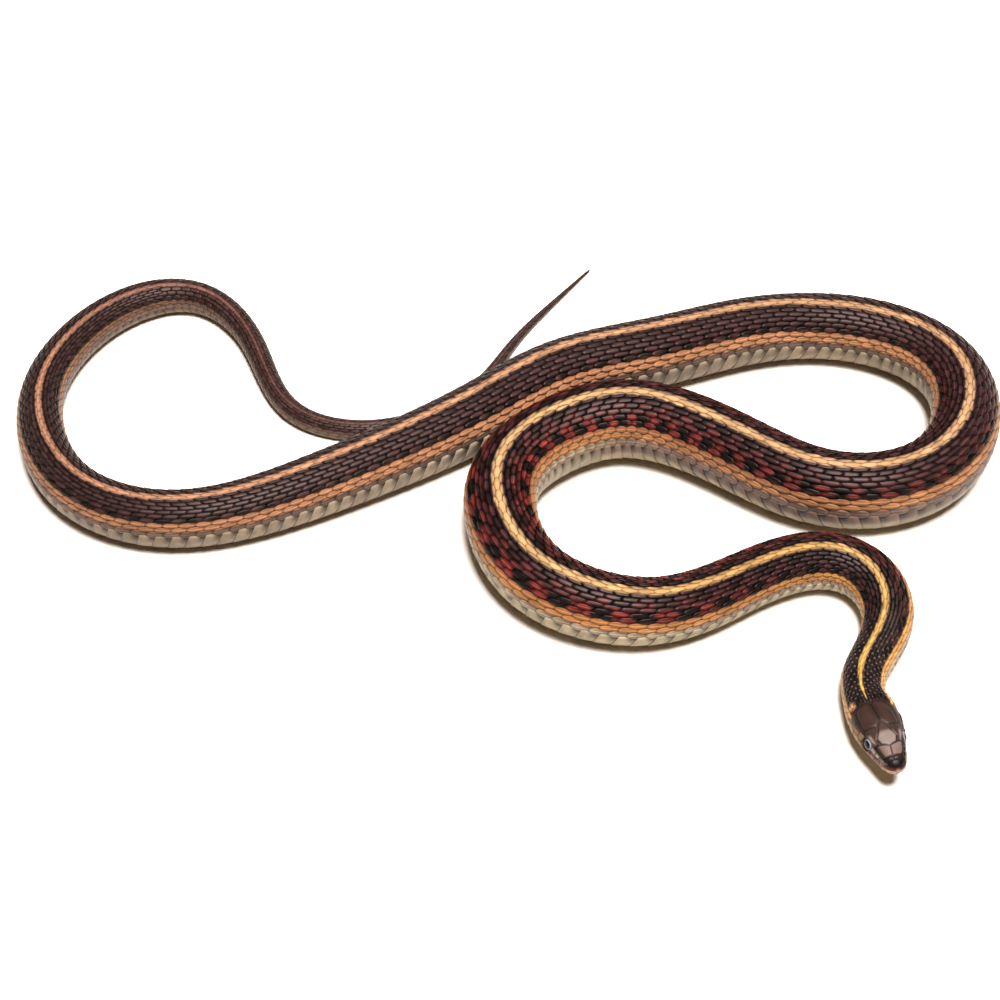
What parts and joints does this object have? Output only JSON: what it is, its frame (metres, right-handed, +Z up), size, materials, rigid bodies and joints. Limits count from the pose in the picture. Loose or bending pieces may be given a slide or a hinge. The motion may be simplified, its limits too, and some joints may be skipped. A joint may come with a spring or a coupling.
{
  "type": "garter snake",
  "caption": "Life-size still model of a striped garter snake lying on a floor in flowing loops, head slightly raised and thin tail behind.",
  "frame": {"origin": "on the floor under the middle of the model's bounding box", "axes": "+X to the right-hand end of the loops seen from the front, the head's side; +Y away from the viewer; +Z up from the floor"},
  "size_m": [0.2328, 0.1622, 0.0191],
  "materials": {
    "head": "satin brown-black horny head plates with orange and cream lips",
    "jaw": "satin cream scales of the lower lip and chin",
    "eye": "wet, glossy dark eye with a thin pale ring round the pupil",
    "body": "satin dark scales with a yellow to orange stripe down the back and one along each side, red flecks between, and pale belly scutes",
    "tail": "satin brown scales with a dull stripe down the back"
  },
  "bodies": {
    "root": {"head": "head", "lower_jaw": "jaw", "eye_left": "eye", "eye_right": "eye", "neck": "body", "body_01": "body", "body_02": "body", "body_03": "body", "body_04": "body", "body_05": "body", "body_06": "body", "body_07": "body", "body_08": "body", "body_09": "body", "body_10": "body", "body_11": "body", "body_12": "body", "tail_1": "tail", "tail_2": "tail", "tail_3": "tail", "tail_4": "tail"}
  },
  "joints": []
}
